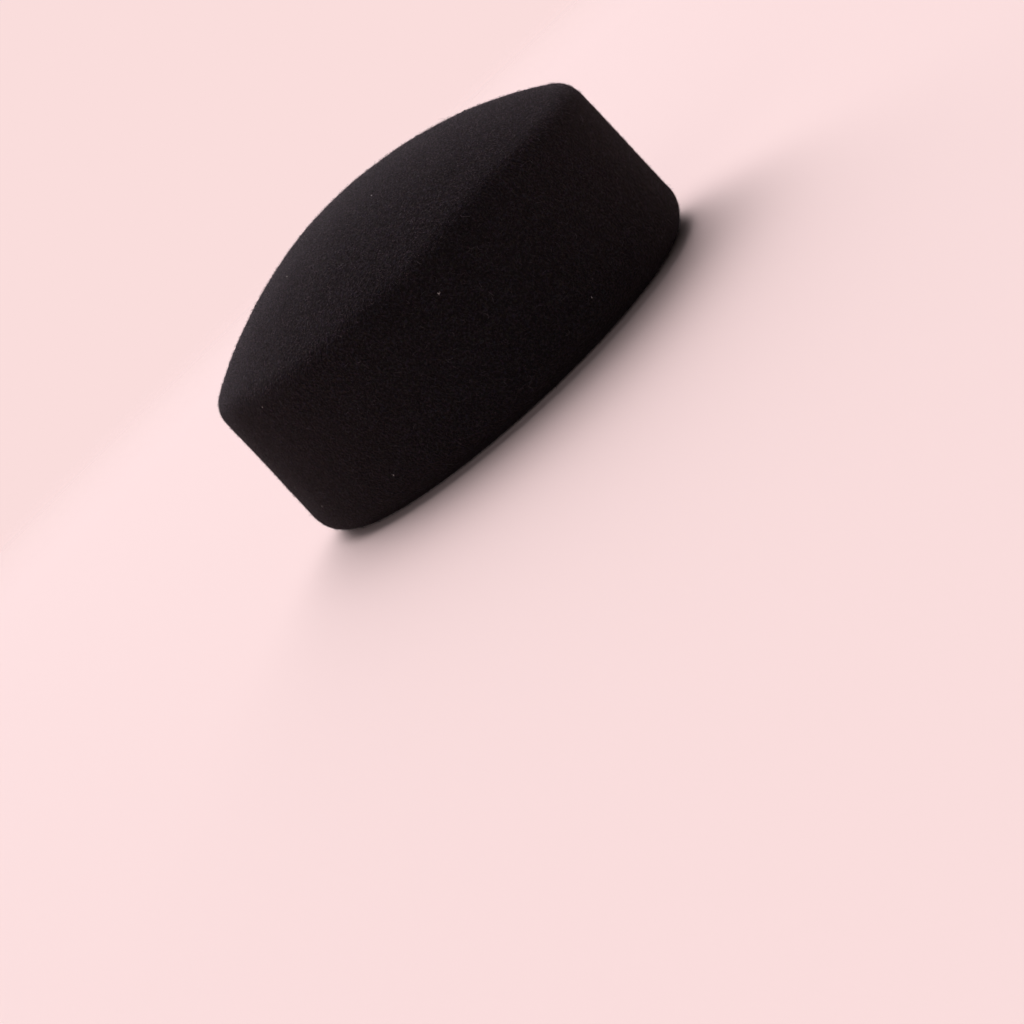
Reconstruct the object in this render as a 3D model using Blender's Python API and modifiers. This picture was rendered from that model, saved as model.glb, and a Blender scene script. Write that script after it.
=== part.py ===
"""Pillbox hat blocked from one piece of wool felt, in metres.

+Z is up, the front of the hat faces -Y, and the hat rests at Z = 0 on its rolled-in edge.
"""
import math

import bmesh
import bpy
from mathutils import Vector

# Plan, where the wall would meet the floor if its foot weren't rounded
HAT_LENGTH = 0.234          # back to front
HAT_WIDTH = 0.204           # side to side

# Heights above the surface that the hat rests on
HAT_HEIGHT = 0.1175         # to the middle of the crown
CORNER_HEIGHT = 0.084       # to the corner of wall and crown, before rounding, at front and back
CORNER_SAG = 0.004          # how much lower that corner runs at the two sides

# Section of the felt
FELT_THICKNESS = 0.0025
WALL_DRAFT = 0.0035         # how far the wall leans in between the floor and the corner
RIDGE_RADIUS = 0.0135       # outer rounding between wall and crown
HEM_RADIUS = 0.016          # outer rounding where the wall rolls in below
REST_WIDTH = 0.004          # flat lip between that rounding and the head opening

# Fineness of the faces
DIRECTIONS = 64
CROWN_STEPS = 8
RIDGE_STEPS = 5
WALL_STEPS = 3
HEM_STEPS = 6

FELT_BLACK = (0.0105, 0.0095, 0.0105, 1.0)
FELT_ROUGHNESS = 0.95


def clear_scene():
    for thing in list(bpy.data.objects):
        bpy.data.objects.remove(thing, do_unlink=True)


def felt_material():
    material = bpy.data.materials.new("black_wool_felt")
    material.use_nodes = True
    shader = material.node_tree.nodes["Principled BSDF"]
    shader.inputs["Base Color"].default_value = FELT_BLACK
    shader.inputs["Roughness"].default_value = FELT_ROUGHNESS
    shader.inputs["Metallic"].default_value = 0.0
    material.diffuse_color = FELT_BLACK
    return material


def arc_in_corner(before, corner, after, radius, steps):
    """Points of the arc that rounds a corner, from the side of before to the side of after."""
    inward = (before - corner).normalized()
    onward = (after - corner).normalized()
    half_angle = inward.angle(onward) / 2
    centre = corner + (inward + onward).normalized() * radius / math.sin(half_angle)
    setback = radius / math.tan(half_angle)
    first = (corner + inward * setback - centre).normalized()
    last = (corner + onward * setback - centre).normalized()
    return [centre + first.slerp(last, step / steps) * radius for step in range(steps + 1)]


def crown_arc(top, rim, steps):
    """Points of the arc that leaves the top level and falls to the rim, without its two ends."""
    fall = top.y - rim.y
    radius = (rim.x ** 2 + fall ** 2) / (2 * fall)
    points = []
    for step in range(1, steps):
        out = rim.x * step / steps
        points.append(Vector((out, top.y - radius + math.sqrt(radius ** 2 - out ** 2))))
    return points


def section(reach, corner_height):
    """The outer face cut through the axis, as (distance out, height), from the crown to the cut edge."""
    top = Vector((0.0, HAT_HEIGHT))
    corner = Vector((reach - WALL_DRAFT, corner_height))
    foot = Vector((reach, 0.0))
    crown_fall = 2 * math.atan2(HAT_HEIGHT - corner_height, corner.x)
    up_the_crown = corner + Vector((-math.cos(crown_fall), math.sin(crown_fall)))
    ridge = arc_in_corner(up_the_crown, corner, foot, RIDGE_RADIUS, RIDGE_STEPS)
    hem = arc_in_corner(corner, foot, Vector((0.0, 0.0)), HEM_RADIUS, HEM_STEPS)
    wall = [ridge[-1].lerp(hem[0], step / WALL_STEPS) for step in range(1, WALL_STEPS)]
    cut_edge = hem[-1] - Vector((REST_WIDTH, 0.0))
    return [*crown_arc(top, ridge[0], CROWN_STEPS), *ridge, *wall, *hem, cut_edge]


def felt_surface():
    """The hat's outer face as an open mesh: one loft through sections taken all round the oval.

    The roundings keep their radius while the oval's reach changes, so this is no turned shape.
    """
    mesh = bmesh.new()
    middle = mesh.verts.new((0.0, 0.0, HAT_HEIGHT))
    columns = []
    for index in range(DIRECTIONS):
        turn = 2 * math.pi * index / DIRECTIONS
        plan = Vector((math.sin(turn) * HAT_WIDTH / 2, -math.cos(turn) * HAT_LENGTH / 2))
        corner_height = CORNER_HEIGHT - CORNER_SAG * math.sin(turn) ** 2
        outward = plan.normalized()
        column = [
            mesh.verts.new((outward.x * point.x, outward.y * point.x, point.y))
            for point in section(plan.length, corner_height)
        ]
        columns.append(column)
    for index, column in enumerate(columns):
        following = columns[(index + 1) % DIRECTIONS]
        mesh.faces.new((middle, column[0], following[0]))
        for row in range(len(column) - 1):
            mesh.faces.new((column[row], column[row + 1], following[row + 1], following[row]))
    mesh.normal_update()
    return mesh


def felt_cap(collection):
    surface = felt_surface()
    data = bpy.data.meshes.new("felt_cap")
    surface.to_mesh(data)
    surface.free()
    data.materials.append(felt_material())
    data.shade_smooth()
    cap = bpy.data.objects.new("felt_cap", data)
    collection.objects.link(cap)
    felt = cap.modifiers.new("felt", "SOLIDIFY")
    felt.thickness = FELT_THICKNESS
    felt.offset = -1.0
    felt.use_even_offset = True
    return cap


def build_hat():
    clear_scene()
    collection = bpy.data.collections.new("pillbox_hat")
    bpy.context.scene.collection.children.link(collection)
    felt_cap(collection)


build_hat()
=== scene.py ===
"""The looks of a pillbox hat blocked from one piece of black wool felt.

Metres, +Z up, the front of the hat towards -Y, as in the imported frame.
"""

import math

import bpy
import numpy as np
from mathutils import Matrix, Vector


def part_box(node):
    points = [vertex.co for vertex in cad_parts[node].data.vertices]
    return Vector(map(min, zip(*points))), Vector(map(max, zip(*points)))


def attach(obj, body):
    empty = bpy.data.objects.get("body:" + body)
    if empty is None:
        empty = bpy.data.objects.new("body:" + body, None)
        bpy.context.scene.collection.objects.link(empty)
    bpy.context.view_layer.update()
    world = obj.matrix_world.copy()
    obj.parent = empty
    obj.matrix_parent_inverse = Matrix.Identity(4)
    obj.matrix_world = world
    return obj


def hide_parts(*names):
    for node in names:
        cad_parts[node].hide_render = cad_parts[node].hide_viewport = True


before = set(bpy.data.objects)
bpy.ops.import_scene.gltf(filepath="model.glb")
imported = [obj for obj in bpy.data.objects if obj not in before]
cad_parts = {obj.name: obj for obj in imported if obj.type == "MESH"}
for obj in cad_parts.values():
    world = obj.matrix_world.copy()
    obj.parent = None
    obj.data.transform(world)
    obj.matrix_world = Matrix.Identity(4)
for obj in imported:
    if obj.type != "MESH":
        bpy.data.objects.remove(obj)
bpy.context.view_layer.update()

# The blocked felt
# The hat is one hood of wool felt, steamed, pulled down over an oval wooden block and dried on it.
# That leaves a low dome, a soft ridge that wavers by a millimetre where hands pressed it, and a
# wall whose foot is rolled in to a narrow lip, trimmed with shears at the head opening.

MM = 0.001
felt_low, felt_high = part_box("felt_cap")
HAT_HEIGHT = felt_high.z
RIDGE_HEIGHT = 84 * MM          # corner of wall and crown before rounding, at front and back
RIDGE_SAG = 4 * MM              # how much lower that corner runs at the two sides
RIDGE_RADIUS = 13.5 * MM
WALL_DRAFT = 3.5 * MM           # how far the wall leans in on its way up
HEM_RADIUS = 16 * MM            # rounding where the wall rolls in below
LIP_WIDTH = 4 * MM              # flat between that rounding and the head opening
FELT_THICKNESS = 2.5 * MM

DIRECTIONS = 320
CROWN_STEPS = 46
RIDGE_STEPS = 18
WALL_STEPS = 26
HEM_STEPS = 18
LIP_STEPS = 2
EDGE_STEPS = 4

# The rolled foot's widest part lies this far inside the point where wall and floor would meet
hem_half_angle = (math.pi / 2 - math.atan(WALL_DRAFT / RIDGE_HEIGHT)) / 2
FOOT_INSET = HEM_RADIUS * (1 / math.tan(hem_half_angle) - 1)
HALF_LENGTH = felt_high.y + FOOT_INSET
HALF_WIDTH = felt_high.x + FOOT_INSET

# Where hands pressed or pulled the ridge: degrees round from the front by way of the +X side,
# degrees over which the mark fades, and how far the corner was lifted
HAND_MARKS = (
    {"turn": 335, "spread": 16, "lift": -1.2 * MM},
    {"turn": 301, "spread": 15, "lift": 1.5 * MM},
    {"turn": 277, "spread": 13, "lift": -0.8 * MM},
    {"turn": 243, "spread": 20, "lift": -1.3 * MM},
    {"turn": 205, "spread": 22, "lift": 0.7 * MM},
    {"turn": 160, "spread": 24, "lift": -0.7 * MM},
    {"turn": 118, "spread": 18, "lift": 0.9 * MM},
    {"turn": 82, "spread": 20, "lift": -0.9 * MM},
    {"turn": 40, "spread": 18, "lift": 0.8 * MM},
)

# Shallow hollows that steam and hands left all over: how wide they are, and how deep
HOLLOWS = (
    {"width": 70 * MM, "depth": 0.35 * MM, "seed": 11},
    {"width": 26 * MM, "depth": 0.13 * MM, "seed": 12},
    {"width": 9 * MM, "depth": 0.05 * MM, "seed": 13},
)
HOLLOWS_START = 12 * MM         # they fade out below this height, so that the foot rests flat
SHEARS_STRAY = 0.5 * MM         # how far the shears wandered along the cut edge
SHEARS_WAVE = 30 * MM           # over which length they wandered out and back
SHEARS_SEED = 14
EDGE_SWELL = 0.35 * MM          # how far the cut edge bulges between its two faces


def ridge_lift(turn):
    """How far the hands moved the ridge up, this many radians round the hat."""
    total = 0.0
    for mark in HAND_MARKS:
        away = (math.degrees(turn) - mark["turn"] + 180) % 360 - 180
        total += mark["lift"] * math.exp(-((away / mark["spread"]) ** 2))
    return total


def arc_in_corner(before, corner, after, radius, steps):
    """Points of the arc that rounds a corner, from the side of before to the side of after."""
    inward = (before - corner).normalized()
    onward = (after - corner).normalized()
    half_angle = inward.angle(onward) / 2
    centre = corner + (inward + onward).normalized() * radius / math.sin(half_angle)
    setback = radius / math.tan(half_angle)
    first = (corner + inward * setback - centre).normalized()
    last = (corner + onward * setback - centre).normalized()
    return [centre + first.slerp(last, step / steps) * radius for step in range(steps + 1)]


def crown_arc(rim):
    """Points of the arc that leaves the middle of the crown level and falls to the rim."""
    fall = HAT_HEIGHT - rim.y
    radius = (rim.x ** 2 + fall ** 2) / (2 * fall)
    outs = [rim.x * step / CROWN_STEPS for step in range(CROWN_STEPS)]
    return [Vector((out, HAT_HEIGHT - radius + math.sqrt(radius ** 2 - out ** 2))) for out in outs]


def section(reach, ridge_height):
    """The outer face cut through the axis, as (distance out, height), from the crown down."""
    corner = Vector((reach - WALL_DRAFT, ridge_height))
    foot = Vector((reach, 0.0))
    crown_fall = 2 * math.atan2(HAT_HEIGHT - ridge_height, corner.x)
    up_the_crown = corner + Vector((-math.cos(crown_fall), math.sin(crown_fall)))
    ridge = arc_in_corner(up_the_crown, corner, foot, RIDGE_RADIUS, RIDGE_STEPS)
    hem = arc_in_corner(corner, foot, Vector((0.0, 0.0)), HEM_RADIUS, HEM_STEPS)
    wall = [ridge[-1].lerp(hem[0], step / WALL_STEPS) for step in range(1, WALL_STEPS)]
    lip = [hem[-1] - Vector((LIP_WIDTH * step / LIP_STEPS, 0.0)) for step in range(1, LIP_STEPS + 1)]
    return [*crown_arc(ridge[0]), *ridge, *wall, *hem, *lip]


def blocked_face():
    """The outer face as columns of points, one section for each direction round the oval."""
    columns = []
    for index in range(DIRECTIONS):
        turn = 2 * math.pi * index / DIRECTIONS
        plan = Vector((math.sin(turn) * HALF_WIDTH, -math.cos(turn) * HALF_LENGTH))
        ridge_height = RIDGE_HEIGHT - RIDGE_SAG * math.sin(turn) ** 2 + ridge_lift(turn)
        outward = plan.normalized()
        points = section(plan.length, ridge_height)
        columns.append([(outward.x * point.x, outward.y * point.x, point.y) for point in points])
    return np.array(columns)


def unit(vectors):
    """The vectors at length 1."""
    return vectors / np.maximum(np.linalg.norm(vectors, axis=-1, keepdims=True), 1e-12)


def face_normals(points):
    """Outward normals of a face given as columns of points that start at the crown's middle."""
    around = np.roll(points, -1, axis=0) - np.roll(points, 1, axis=0)
    down = np.gradient(points, axis=1)
    normals = unit(np.cross(down, around))
    normals[:, 0] = (0.0, 0.0, 1.0)
    return normals


def soft_waves(points, wavelength, seed, count=24):
    """A smooth uneven field, mostly between -1 and 1, summed from waves in all directions."""
    rng = np.random.default_rng(seed)
    ways = unit(rng.normal(size=(count, 3))) * 2 * math.pi / wavelength
    phases = rng.uniform(0, 2 * math.pi, count)
    return np.sin(points @ ways.T + phases).sum(axis=-1) / math.sqrt(2 * count)


def handled(points):
    """The face with its shallow hollows and its strayed cut edge."""
    normals = face_normals(points)
    share = np.clip(points[..., 2] / HOLLOWS_START, 0, 1)
    push = sum(soft_waves(points, row["width"], row["seed"]) * row["depth"] for row in HOLLOWS)
    moved = points + normals * (push * share)[..., None]
    out = unit(points[:, -1] * (1, 1, 0))
    stray = soft_waves(points[:, -1], SHEARS_WAVE, SHEARS_SEED) * SHEARS_STRAY
    moved[:, -1] += out * stray[:, None]
    return moved


def cut_edge(outer_rim, inner_rim):
    """Rows that join the two faces at the head opening, bulging a little as sheared felt does."""
    rows = []
    for step in range(1, EDGE_STEPS):
        share = step / EDGE_STEPS
        middle = outer_rim * (1 - share) + inner_rim * share
        rows.append(middle - unit(outer_rim * (1, 1, 0)) * EDGE_SWELL * math.sin(math.pi * share))
    return np.stack(rows, axis=1)


def add_object(name, vertices, faces):
    """A smooth mesh object from arrays or lists."""
    mesh = bpy.data.meshes.new(name)
    mesh.from_pydata(np.asarray(vertices).tolist(), [], faces)
    mesh.shade_smooth()
    made = bpy.data.objects.new(name, mesh)
    bpy.context.scene.collection.objects.link(made)
    return made


def felt_shell(outer, inner):
    """The closed felt: outer face, cut edge and inner face as one run of rows, with two poles."""
    edge = cut_edge(outer[:, -1], inner[:, -1])
    run = np.concatenate([outer[:, 1:], edge, inner[:, :0:-1]], axis=1)
    rows = run.shape[1]
    vertices = np.concatenate([run.reshape(-1, 3), outer[:1, 0], inner[:1, 0]])
    outer_pole = len(vertices) - 2
    inner_pole = len(vertices) - 1
    first = np.arange(DIRECTIONS) * rows
    following = np.roll(first, -1)
    down = np.arange(rows - 1)
    here = first[:, None] + down
    there = following[:, None] + down
    faces = np.stack([here, here + 1, there + 1, there], axis=-1).reshape(-1, 4).tolist()
    faces += [(outer_pole, int(a), int(b)) for a, b in zip(first, following)]
    faces += [(inner_pole, int(b) + rows - 1, int(a) + rows - 1) for a, b in zip(first, following)]
    return add_object("blocked_felt", vertices, faces)


def linear(hex_colour):
    """An sRGB hex colour as the linear RGBA that Blender's sockets take."""
    shares = [int(hex_colour[place:place + 2], 16) / 255 for place in (1, 3, 5)]
    return (*[s / 12.92 if s <= 0.04045 else ((s + 0.055) / 1.055) ** 2.4 for s in shares], 1.0)


def add_node(tree, kind, inputs=None, **settings):
    """Adds one node, makes its settings, and sets or links its inputs."""
    made = tree.nodes.new(kind)
    for name, value in settings.items():
        setattr(made, name, value)
    for name, value in (inputs or {}).items():
        if isinstance(value, bpy.types.NodeSocket):
            tree.links.new(value, made.inputs[name])
        else:
            made.inputs[name].default_value = value
    return made


# A wool fibre is 0.02 mm thick, too fine for the render. The mat of fibres is drawn as lumps a
# millimetre wide, and the single fibres on it as lines a few tenths wide. All in millimetres:
MAT_GRAIN = 1.05                # lumps of matted fibre
TINT_GRAIN = 1.3                # fibres that took the dye a little redder or bluer
CURL_WIDTH = 1.6                # how closely the single fibres turn
CURL_REACH = 1.1                # how far the whole pattern is pushed about, so that nothing lines up
FIBRE_GAPS = (2.3, 1.7)         # from one drawn fibre to the next, in two layers
CLOUD_WIDTH = 11                # thicker and thinner places in the felt
PATCH_WIDTH = 42                # places that steam and brush left a little duller
MAT_DEPTH = 1.1                 # from the bottom of the mat to its top, drawn as relief
CROWN_PAINTED_LIGHT_FROM = 72               # painted light: the crown's mat is drawn with more contrast from this height on
CROWN_PAINTED_LIGHT_FULLY = 94              # and most from this height on

# How those patterns are weighed. Shares are of the way from the felt's darkest tone to its palest
NOISE_MIDDLE = 0.5
MAT_NOISE = (0.3, 0.7)          # the noise that gives the thinnest and the thickest mat
FIBRE_NOISE = 0.045             # a single fibre is drawn where its noise is this near the middle
FIBRE_SHARE = 0.22              # how much paler a single fibre is
FIBRE_LAYER_STEP = 10.0         # from one layer of single fibres to the next, through the noise
CROWN_PAINTED_LIGHT_CONTRAST = 1.55         # of the crown's mat against that of the wall, painted light on the top
DYE_SPREAD = (1.0, 0.9, 1.5)    # red, green and blue: how far the dye strays from fibre to fibre
DYE_LEAST = (0.5, 0.55, 0.25)   # what a fibre that took the dye worst has of each
CLOUD_NOISE = (0.6, 1.4)        # clouds and patches together, from their dullest to their palest
CLOUD_SHADE = (0.8, 1.2)        # what that does to the tone
CLOUD_SHARE = 0.8               # of the clouds in the relief
FELT_TONES = (("#080708", 0.0), ("#0d0c0e", 0.42), ("#151416", 0.68), ("#252226", 1.0))

FELT_ROUGHNESS = 0.95
FELT_SPECULAR = 0.13
BLOOM_WEIGHT = 0.04
BLOOM_ROUGHNESS = 0.5
BLOOM_TONE = "#efb6b4"


def black_wool_felt():
    """Wool felt, dyed black and matted by steam and pressure.

    The eye gets no shine, only a mat of curled fibres over darker gaps, some fibres paler than
    others, and a faint bloom where it looks along the surface. The crown's mat is drawn with more
    contrast and a little paler than the wall's, as painted light on the top.
    """
    material = bpy.data.materials.new("black_wool_felt")
    material.use_nodes = True
    tree = material.node_tree
    shader = tree.nodes["Principled BSDF"]
    shader.inputs["Roughness"].default_value = FELT_ROUGHNESS
    shader.inputs["Specular IOR Level"].default_value = FELT_SPECULAR
    shader.inputs["Sheen Weight"].default_value = BLOOM_WEIGHT
    shader.inputs["Sheen Roughness"].default_value = BLOOM_ROUGHNESS
    shader.inputs["Sheen Tint"].default_value = linear(BLOOM_TONE)

    place = add_node(tree, "ShaderNodeTexCoord")
    in_mm = add_node(tree, "ShaderNodeVectorMath", {
        0: place.outputs["Object"],
        "Scale": 1 / MM,
    }, operation="SCALE")
    drift = add_node(tree, "ShaderNodeTexNoise", {
        "Vector": in_mm.outputs["Vector"],
        "Scale": 1 / CURL_WIDTH,
        "Detail": 1.0,
    })
    curled = add_node(tree, "ShaderNodeVectorMath", {
        0: drift.outputs["Color"],
        1: (CURL_REACH,) * 3,
        2: in_mm.outputs["Vector"],
    }, operation="MULTIPLY_ADD")
    mat = add_node(tree, "ShaderNodeTexNoise", {
        "Vector": curled.outputs["Vector"],
        "Scale": 1 / MAT_GRAIN,
        "Detail": 2.0,
        "Roughness": 0.6,
    })
    thickness = add_node(tree, "ShaderNodeMapRange", {
        "Value": mat.outputs["Fac"],
        "From Min": MAT_NOISE[0],
        "From Max": MAT_NOISE[1],
    })
    fibres = 0.0
    for layer, gap in enumerate(FIBRE_GAPS):
        field = add_node(tree, "ShaderNodeTexNoise", {
            "Vector": curled.outputs["Vector"],
            "W": FIBRE_LAYER_STEP * layer,
            "Scale": 1 / gap,
            "Detail": 0.0,
        }, noise_dimensions="4D")
        drawn = add_node(tree, "ShaderNodeMath", {
            0: field.outputs["Fac"],
            1: NOISE_MIDDLE,
            2: FIBRE_NOISE,
        }, operation="COMPARE")
        fibres = add_node(tree, "ShaderNodeMath", {
            0: fibres,
            1: drawn.outputs["Value"],
        }, operation="MAXIMUM").outputs["Value"]
    paleness = add_node(tree, "ShaderNodeMath", {
        0: fibres,
        1: FIBRE_SHARE,
        2: thickness.outputs["Result"],
    }, operation="MULTIPLY_ADD")
    # Painted light: towards the top the mat's contrast is raised, which also makes the crown a little
    # paler, standing in for the light that falls on it
    height = add_node(tree, "ShaderNodeSeparateXYZ", {"Vector": in_mm.outputs["Vector"]})
    contrast = add_node(tree, "ShaderNodeMapRange", {
        "Value": height.outputs["Z"],
        "From Min": CROWN_PAINTED_LIGHT_FROM,
        "From Max": CROWN_PAINTED_LIGHT_FULLY,
        "To Min": 1.0,
        "To Max": CROWN_PAINTED_LIGHT_CONTRAST,
    }, interpolation_type="SMOOTHSTEP")
    from_middle = add_node(tree, "ShaderNodeMath", {
        0: paleness.outputs["Value"],
        1: NOISE_MIDDLE,
    }, operation="SUBTRACT")
    painted_light_mat = add_node(tree, "ShaderNodeMath", {
        0: from_middle.outputs["Value"],
        1: contrast.outputs["Result"],
        2: NOISE_MIDDLE,
    }, operation="MULTIPLY_ADD")
    tone = add_node(tree, "ShaderNodeValToRGB", {"Fac": painted_light_mat.outputs["Value"]})
    ramp = tone.color_ramp
    while len(ramp.elements) < len(FELT_TONES):
        ramp.elements.new(0.5)
    for element, (colour, position) in zip(ramp.elements, FELT_TONES):
        element.position = position
        element.color = linear(colour)

    dye = add_node(tree, "ShaderNodeTexNoise", {
        "Vector": in_mm.outputs["Vector"],
        "Scale": 1 / TINT_GRAIN,
        "Detail": 1.0,
    })
    tint = add_node(tree, "ShaderNodeVectorMath", {
        0: dye.outputs["Color"],
        1: DYE_SPREAD,
        2: DYE_LEAST,
    }, operation="MULTIPLY_ADD")
    dyed = add_node(tree, "ShaderNodeVectorMath", {
        0: tone.outputs["Color"],
        1: tint.outputs["Vector"],
    }, operation="MULTIPLY")
    clouds = add_node(tree, "ShaderNodeTexNoise", {
        "Vector": in_mm.outputs["Vector"],
        "Scale": 1 / CLOUD_WIDTH,
        "Detail": 3.0,
    })
    patches = add_node(tree, "ShaderNodeTexNoise", {
        "Vector": in_mm.outputs["Vector"],
        "Scale": 1 / PATCH_WIDTH,
        "Detail": 1.0,
    })
    uneven = add_node(tree, "ShaderNodeMath", {
        0: clouds.outputs["Fac"],
        1: patches.outputs["Fac"],
    }, operation="ADD")
    shade = add_node(tree, "ShaderNodeMapRange", {
        "Value": uneven.outputs["Value"],
        "From Min": CLOUD_NOISE[0],
        "From Max": CLOUD_NOISE[1],
        "To Min": CLOUD_SHADE[0],
        "To Max": CLOUD_SHADE[1],
    })
    shaded = add_node(tree, "ShaderNodeVectorMath", {
        0: dyed.outputs["Vector"],
        "Scale": shade.outputs["Result"],
    }, operation="SCALE")
    tree.links.new(shaded.outputs["Vector"], shader.inputs["Base Color"])

    relief = add_node(tree, "ShaderNodeMath", {
        0: clouds.outputs["Fac"],
        1: CLOUD_SHARE,
        2: paleness.outputs["Value"],
    }, operation="MULTIPLY_ADD")
    bump = add_node(tree, "ShaderNodeBump", {
        "Strength": 1.0,
        "Distance": MAT_DEPTH * MM,
        "Height": relief.outputs["Value"],
    })
    tree.links.new(bump.outputs["Normal"], shader.inputs["Normal"])
    return material


outer_face = handled(blocked_face())
outer_normals = face_normals(outer_face)
inner_face = outer_face - outer_normals * FELT_THICKNESS
blocked_felt = felt_shell(outer_face, inner_face)
blocked_felt.data.materials.append(black_wool_felt())
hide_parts("felt_cap")
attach(blocked_felt, "root")

# The nap
# Wool fibre ends that steam and the brush raise from the felt, under two millimetres long and
# lying over in every way. They're fixed by their own roots, matted into the felt.

FIBRE_SIDES = 3
FIBRE_ROUGHNESS = 0.7
FIBRE_SPECULAR = 0.3
ROOT_DEPTH = 0.12 * MM          # how deep each fibre starts inside the felt
FLOOR_GAP = 0.05 * MM           # nothing hangs lower than this above the surface that it rests on

# Least, usual and most. The radius is several times a real fibre's, which wouldn't show
NAP_LEAN = (25, 72, 86)         # degrees from upright
NAP_LENGTH = (0.5 * MM, 1.0 * MM, 2.0 * MM)
NAP_RADIUS = (0.04 * MM, 0.06 * MM)


def places_on(points, normals, first, last, count, rng):
    """Places spread evenly by area over some rows of a face: point, normal and way round."""
    part = points[:, first:last + 1]
    part_normals = normals[:, first:last + 1]
    after = np.roll(part, -1, axis=0)
    after_normals = np.roll(part_normals, -1, axis=0)
    areas = np.linalg.norm(np.cross(after[:, 1:] - part[:, :-1], after[:, :-1] - part[:, 1:]), axis=-1)
    picked = rng.choice(areas.size, count, p=areas.ravel() / areas.sum())
    column, row = np.unravel_index(picked, areas.shape)
    along = rng.random((count, 1))
    down = rng.random((count, 1))

    def blend(here, there):
        upper = here[column, row] * (1 - along) + there[column, row] * along
        lower = here[column, row + 1] * (1 - along) + there[column, row + 1] * along
        return upper * (1 - down) + lower * down

    normal = unit(blend(part_normals, after_normals))
    around = after[column, row + 1] - part[column, row + 1]
    around = unit(around - normal * (around * normal).sum(axis=1, keepdims=True))
    return blend(part, after), normal, around


def wool_fibre(name, tone):
    """Dyed wool, a scaly round fibre. It glints a little, and is too thin to show its own scales."""
    material = bpy.data.materials.new(name)
    material.use_nodes = True
    shader = material.node_tree.nodes["Principled BSDF"]
    shader.inputs["Base Color"].default_value = linear(tone)
    shader.inputs["Roughness"].default_value = FIBRE_ROUGHNESS
    shader.inputs["Specular IOR Level"].default_value = FIBRE_SPECULAR
    return material


def fibres(name, paths, radii, tones, rng):
    """Tapered three-sided fibres as one mesh. Each path's last point is its tip.

    No two fibres of a fleece take the dye alike, so each gets one of the tones; a whole set of tones
    may also be paler as painted light, as the crown's is.
    """
    count, knots = paths.shape[:2]
    rings = knots - 1
    ways = unit(paths[:, 1:] - paths[:, :-1])
    side = unit(np.cross(ways, unit(rng.normal(size=(count, 1, 3)))))
    other = np.cross(ways, side)
    turn = 2 * math.pi * np.arange(FIBRE_SIDES) / FIBRE_SIDES
    spokes = side[:, :, None] * np.cos(turn)[:, None] + other[:, :, None] * np.sin(turn)[:, None]
    ring_points = paths[:, :-1, None] + spokes * radii[..., None, None]
    own = rings * FIBRE_SIDES + 1
    vertices = np.concatenate([ring_points.reshape(count, -1, 3), paths[:, -1:]], axis=1)
    vertices[..., 2] = np.maximum(vertices[..., 2], FLOOR_GAP)
    one = [(0, 2, 1)]
    for ring in range(rings):
        for corner in range(FIBRE_SIDES):
            a = ring * FIBRE_SIDES + corner
            b = ring * FIBRE_SIDES + (corner + 1) % FIBRE_SIDES
            if ring == rings - 1:
                one.append((a, b, own - 1))
            else:
                one.append((a, b, b + FIBRE_SIDES))
                one.append((a, b + FIBRE_SIDES, a + FIBRE_SIDES))
    faces = (np.array(one) + np.arange(count)[:, None, None] * own).reshape(-1, 3)
    made = add_object(name, vertices.reshape(-1, 3), faces.tolist())
    # The materials are named for the dye, though the crown's set is also paler as painted light
    for index, tone in enumerate(tones):
        made.data.materials.append(wool_fibre(f"{name}_dye_{index + 1}", tone))
    dyes = np.repeat(rng.integers(0, len(tones), count), len(one))
    made.data.polygons.foreach_set("material_index", dyes.astype(np.int32))
    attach(made, "root")


def nap(name, first, last, count, tones, seed):
    """Short fibre ends on some rows of the outer face."""
    rng = np.random.default_rng(seed)
    root, normal, around = places_on(outer_face, outer_normals, first, last, count, rng)
    across = np.cross(normal, around)
    heading = rng.uniform(0, 2 * math.pi, (count, 1))
    lean = np.radians(rng.triangular(*NAP_LEAN, (count, 1)))
    flat = around * np.cos(heading) + across * np.sin(heading)
    way = normal * np.cos(lean) + flat * np.sin(lean)
    length = rng.triangular(*NAP_LENGTH, (count, 1))
    paths = np.stack([root - normal * ROOT_DEPTH, root + way * length], axis=1)
    radii = rng.uniform(*NAP_RADIUS, (count, 1))
    fibres(name, paths, radii, tones, rng)


RIDGE_ROW = CROWN_STEPS + RIDGE_STEPS // 2
HEM_ROW = CROWN_STEPS + RIDGE_STEPS + WALL_STEPS
BARE_ROWS = 3                   # of the roll, next to the lip that the hat rests on
LAST_NAP_ROW = HEM_ROW + HEM_STEPS - BARE_ROWS
# The crown's nap gets paler tones than the wall's and the hem's: painted light, standing in for the
# light that falls on the top
CROWN_PAINTED_LIGHT_TONES = ("#191617", "#3a3540", "#6d5d61")
WALL_AND_HEM_TONES = ("#1d1b1c", "#27242a", "#342e2f")
nap("crown_nap", first=0, last=RIDGE_ROW, count=45000, tones=CROWN_PAINTED_LIGHT_TONES, seed=21)
nap("wall_nap", first=RIDGE_ROW, last=HEM_ROW, count=45000, tones=WALL_AND_HEM_TONES, seed=22)
nap("hem_nap", first=HEM_ROW, last=LAST_NAP_ROW, count=12000, tones=WALL_AND_HEM_TONES, seed=23)

# The loose wool
# Longer fibres that worked out of the felt lie on it in curls, held by one end. They're a little
# paler than the wall's nap, catch the light singly and roughen the outline.

CURL_KNOTS = 5
CURL_BEND = 0.5                 # radians from knot to knot, as a usual amount to either side
CURL_CLIMB = (5, 50)            # degrees up from the felt at the root
CURL_DROP = (5, 35)             # degrees that it bends back down at each knot
CURL_STEPS = (0.6, 1.0, 1.7)    # least, usual and most, as shares of the usual step
CURL_THICKNESS = (0.7, 1.3)     # least and most, as shares of the usual radius
CURL_TIP = 0.6                  # share of the root's radius that is left at the last knot


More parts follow.
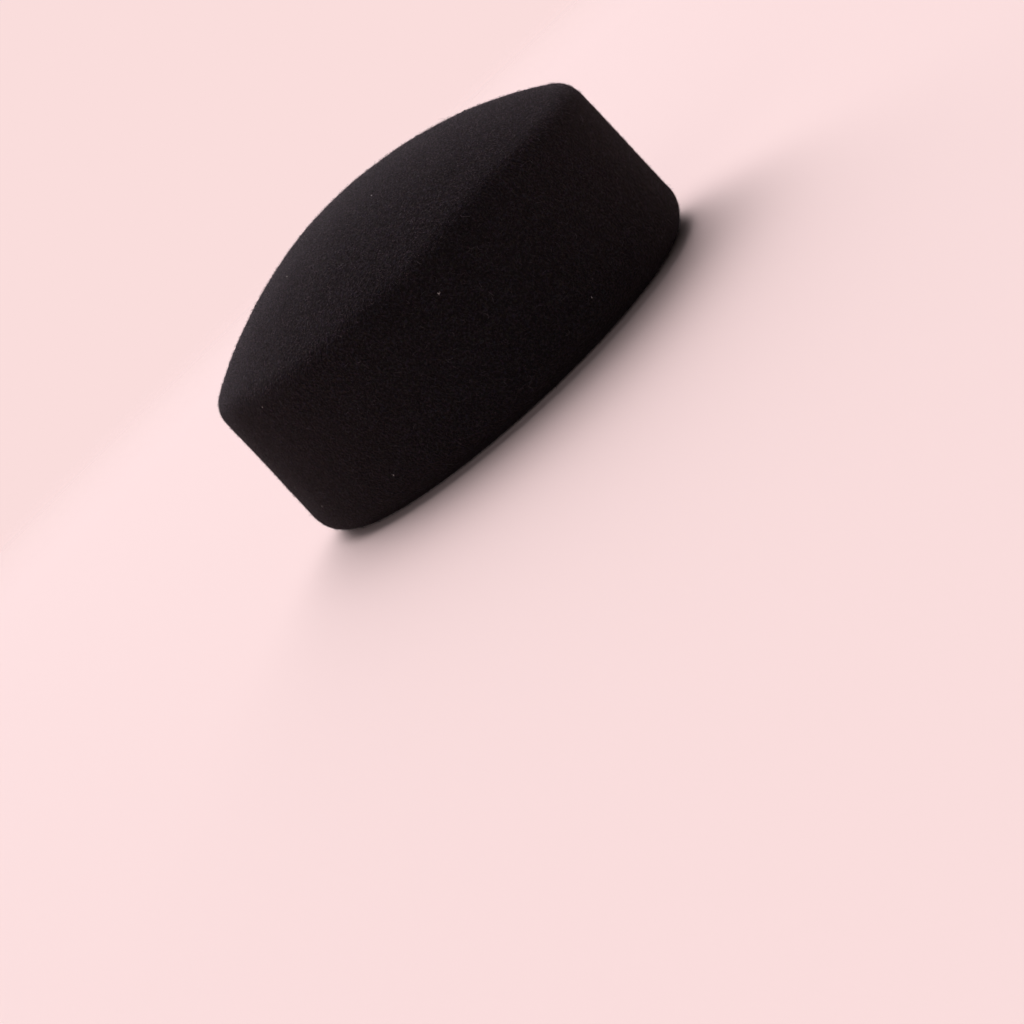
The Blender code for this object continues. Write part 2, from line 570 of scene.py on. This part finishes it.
def curled_wool(name, places, step, thickness, tones, rng):
    """Curled fibres from these places on, with a step from knot to knot and a radius at the root."""
    root, normal, around = places
    count = len(root)
    across = np.cross(normal, around)
    heading = rng.uniform(0, 2 * math.pi, (count, 1))
    bend = rng.normal(0, CURL_BEND, (count, 1))
    climb = np.radians(rng.uniform(*CURL_CLIMB, (count, 1)))
    steps = rng.triangular(*[share * step for share in CURL_STEPS], (count, 1))
    knots = [root - normal * ROOT_DEPTH]
    for knot in range(1, CURL_KNOTS):
        flat = around * np.cos(heading) + across * np.sin(heading)
        way = flat * np.cos(climb) + normal * np.sin(climb)
        knots.append(knots[-1] + way * steps)
        heading = heading + bend
        climb = climb - np.radians(rng.uniform(*CURL_DROP, (count, 1)))
    taper = np.linspace(1, CURL_TIP, CURL_KNOTS - 1)
    radii = rng.uniform(*[share * thickness for share in CURL_THICKNESS], (count, 1)) * taper
    fibres(name, np.stack(knots, axis=1), radii, tones, rng)


# The fine curls lie everywhere, the coarse ones here and there
FINE_CURLS = {"count": 7000, "step": 0.6 * MM, "thickness": 0.045 * MM, "seed": 31}
FINE_TONES = ("#302b2e", "#3f393f", "#4f474a")
COARSE_CURLS = {"count": 900, "step": 0.9 * MM, "thickness": 0.07 * MM, "seed": 32}
COARSE_TONES = ("#3b3638", "#484145", "#565052")

for name, curls, tones in (
    ("loose_wool", FINE_CURLS, FINE_TONES),
    ("stray_wool", COARSE_CURLS, COARSE_TONES),
):
    rng = np.random.default_rng(curls["seed"])
    places = places_on(outer_face, outer_normals, 0, LAST_NAP_ROW, curls["count"], rng)
    curled_wool(name, places, curls["step"], curls["thickness"], tones, rng)

# The lint
# Seven specks of pale lint cling to the felt: crumbs of undyed fibre, each a tangle under a
# millimetre wide, caught by the nap. Degrees are counted from the front by way of the +X side.

LINT = (
    {"turn": 287, "height": 109.8 * MM},
    {"turn": 231, "height": 108.8 * MM},
    {"turn": 225, "height": 76.7 * MM},
    {"turn": 278, "height": 65.0 * MM},
    {"turn": 214, "height": 23.6 * MM},
    {"turn": 302, "height": 19.0 * MM},
    {"turn": 242, "height": 18.9 * MM},
)
LINT_FIBRES = 4                 # in each speck
LINT_STEP = 0.2 * MM            # from knot to knot of such a fibre
LINT_THICKNESS = 0.11 * MM
LINT_SEED = 41
LINT_TONES = ("#c9bdb8", "#e2dad6")


def lint_places():
    """Root, normal and way round for each fibre of each speck."""
    roots = []
    for speck in LINT:
        column = round(speck["turn"] * DIRECTIONS / 360)
        row = int(np.abs(outer_face[column, :, 2] - speck["height"]).argmin())
        around = unit(outer_face[column + 1, row] - outer_face[column, row])
        roots += [(outer_face[column, row], outer_normals[column, row], around)] * LINT_FIBRES
    return [np.array(part) for part in zip(*roots)]


rng = np.random.default_rng(LINT_SEED)
curled_wool("lint", lint_places(), LINT_STEP, LINT_THICKNESS, LINT_TONES, rng)

# The camera
# It stands on the -X side of the hat and a little above it, and is turned on its lens, so that the
# resting hat shows the side and the tilt that it was photographed with.

IMAGE_SIDE = 1024               # pixels, the photograph's frame
FOCAL_PIXELS = 1550             # focal length in those pixels
SENSOR_WIDTH = 36.0             # millimetres
CAMERA_TURN = math.radians(78.81)
CAMERA_RISE = math.radians(15.05)
CAMERA_ROLL = math.radians(-43.67)
CAMERA_DEPTH = 0.7417           # metres from the lens to the point below, along the view
CAMERA_NEAREST = 0.01           # nothing nearer than this is drawn
CAMERA_FARTHEST = 50            # nor anything farther away than this
AIMED_POINT = Vector((0, 0, 0.05))
AIMED_PIXEL = (438.4, 300.3)    # where that point lies in the frame, across and down

back = Vector((-math.sin(CAMERA_TURN), -math.cos(CAMERA_TURN), math.tan(CAMERA_RISE))).normalized()
level_up = (Vector((0, 0, 1)) - back * back.z).normalized()
level_right = level_up.cross(back)
right = level_right * math.cos(CAMERA_ROLL) + level_up * math.sin(CAMERA_ROLL)
up = back.cross(right)
across = (AIMED_PIXEL[0] - IMAGE_SIDE / 2) / FOCAL_PIXELS * CAMERA_DEPTH
upward = (IMAGE_SIDE / 2 - AIMED_PIXEL[1]) / FOCAL_PIXELS * CAMERA_DEPTH
lens = bpy.data.cameras.new("camera")
lens.sensor_width = SENSOR_WIDTH
lens.lens = SENSOR_WIDTH * FOCAL_PIXELS / IMAGE_SIDE
lens.clip_start = CAMERA_NEAREST
lens.clip_end = CAMERA_FARTHEST
camera = bpy.data.objects.new("camera", lens)
bpy.context.scene.collection.objects.link(camera)
camera.location = AIMED_POINT - right * across - up * upward + back * CAMERA_DEPTH
camera.rotation_mode = "QUATERNION"
camera.rotation_quaternion = Matrix((right, up, back)).transposed().to_quaternion()
bpy.context.scene.camera = camera

# The studio
# One round sheet of pale matt paper lies under the hat and fades out far away into a backdrop of
# the same tone. The light is a soft white tent: it glows above and behind the hat, as the camera
# sees it, and faintly low down on the camera's own side.

PAPER_RADIUS = 2.6
PAPER_SOLID = 1.1               # the paper starts to fade at this distance from the middle
PAPER_GONE = 2.496              # and has faded out at this one, just inside its rim
PAPER_EDGES = 96
PAPER_TONE = "#f1e1d8"
PAPER_ROUGHNESS = 0.9
PAPER_SPECULAR = 0.1
BACKDROP_TONE = "#fadddc"

# The middle of each glow in degrees as seen from the hat, and its strength. Turn 0 is the camera's
# side, and from there it goes towards +Y.
GLOWS = (
    {"turn": 164, "rise": 66, "strength": 2.7},
    {"turn": 170, "rise": 46, "strength": 1.8},
    {"turn": 178, "rise": 24, "strength": 3.2},
    {"turn": 25, "rise": 14, "strength": 1.3},
)
GLOW_EVEN = math.radians(16)    # a glow is at its full strength this far out from its middle
GLOW_END = math.radians(37)     # and has faded out here
TENT_TONE = "#f3e6ef"


def matt_paper():
    """Uncoated paper. It gives the eye an even ground with no shine."""
    material = bpy.data.materials.new("matt_paper")
    material.use_nodes = True
    tree = material.node_tree
    shader = tree.nodes["Principled BSDF"]
    shader.inputs["Base Color"].default_value = linear(PAPER_TONE)
    shader.inputs["Roughness"].default_value = PAPER_ROUGHNESS
    shader.inputs["Specular IOR Level"].default_value = PAPER_SPECULAR
    place = add_node(tree, "ShaderNodeTexCoord")
    reach = add_node(tree, "ShaderNodeVectorMath", {0: place.outputs["Object"]}, operation="LENGTH")
    fade = add_node(tree, "ShaderNodeMapRange", {
        "Value": reach.outputs["Value"],
        "From Min": PAPER_SOLID,
        "From Max": PAPER_GONE,
        "To Min": 1.0,
        "To Max": 0.0,
    }, interpolation_type="SMOOTHSTEP")
    tree.links.new(fade.outputs["Result"], shader.inputs["Alpha"])
    return material


def studio_paper():
    """The round sheet, a flat polygon at the height that the hat rests on."""
    turns = [2 * math.pi * edge / PAPER_EDGES for edge in range(PAPER_EDGES)]
    rim = [(PAPER_RADIUS * math.cos(turn), PAPER_RADIUS * math.sin(turn), 0.0) for turn in turns]
    made = add_object("studio_paper", rim, [tuple(range(PAPER_EDGES))])
    made.data.materials.append(matt_paper())
    return made


studio_paper()

world = bpy.data.worlds.new("soft_tent")
world.use_nodes = True
sky = world.node_tree
way_out = add_node(sky, "ShaderNodeTexCoord")
glow = 0.0
for part in GLOWS:
    turn = CAMERA_TURN + math.pi + math.radians(part["turn"])
    rise = math.radians(part["rise"])
    aim = Vector((math.cos(rise) * math.sin(turn), math.cos(rise) * math.cos(turn), math.sin(rise)))
    towards = add_node(sky, "ShaderNodeVectorMath", {
        0: way_out.outputs["Generated"],
        1: aim,
    }, operation="DOT_PRODUCT")
    one = add_node(sky, "ShaderNodeMapRange", {
        "Value": towards.outputs["Value"],
        "From Min": math.cos(GLOW_END),
        "From Max": math.cos(GLOW_EVEN),
        "To Min": 0.0,
        "To Max": part["strength"],
    }, interpolation_type="SMOOTHSTEP")
    both = add_node(sky, "ShaderNodeMath", {0: glow, 1: one.outputs["Result"]}, operation="ADD")
    glow = both.outputs["Value"]
tent = add_node(sky, "ShaderNodeBackground", {"Color": linear(TENT_TONE), "Strength": glow})
backdrop = add_node(sky, "ShaderNodeBackground", {"Color": linear(BACKDROP_TONE), "Strength": 1.0})
path = add_node(sky, "ShaderNodeLightPath")
seen = add_node(sky, "ShaderNodeMixShader", {
    0: path.outputs["Is Camera Ray"],
    1: tent.outputs["Background"],
    2: backdrop.outputs["Background"],
})
sky.links.new(seen.outputs["Shader"], sky.nodes["World Output"].inputs["Surface"])
bpy.context.scene.world = world
bpy.context.scene.view_settings.view_transform = "Standard"
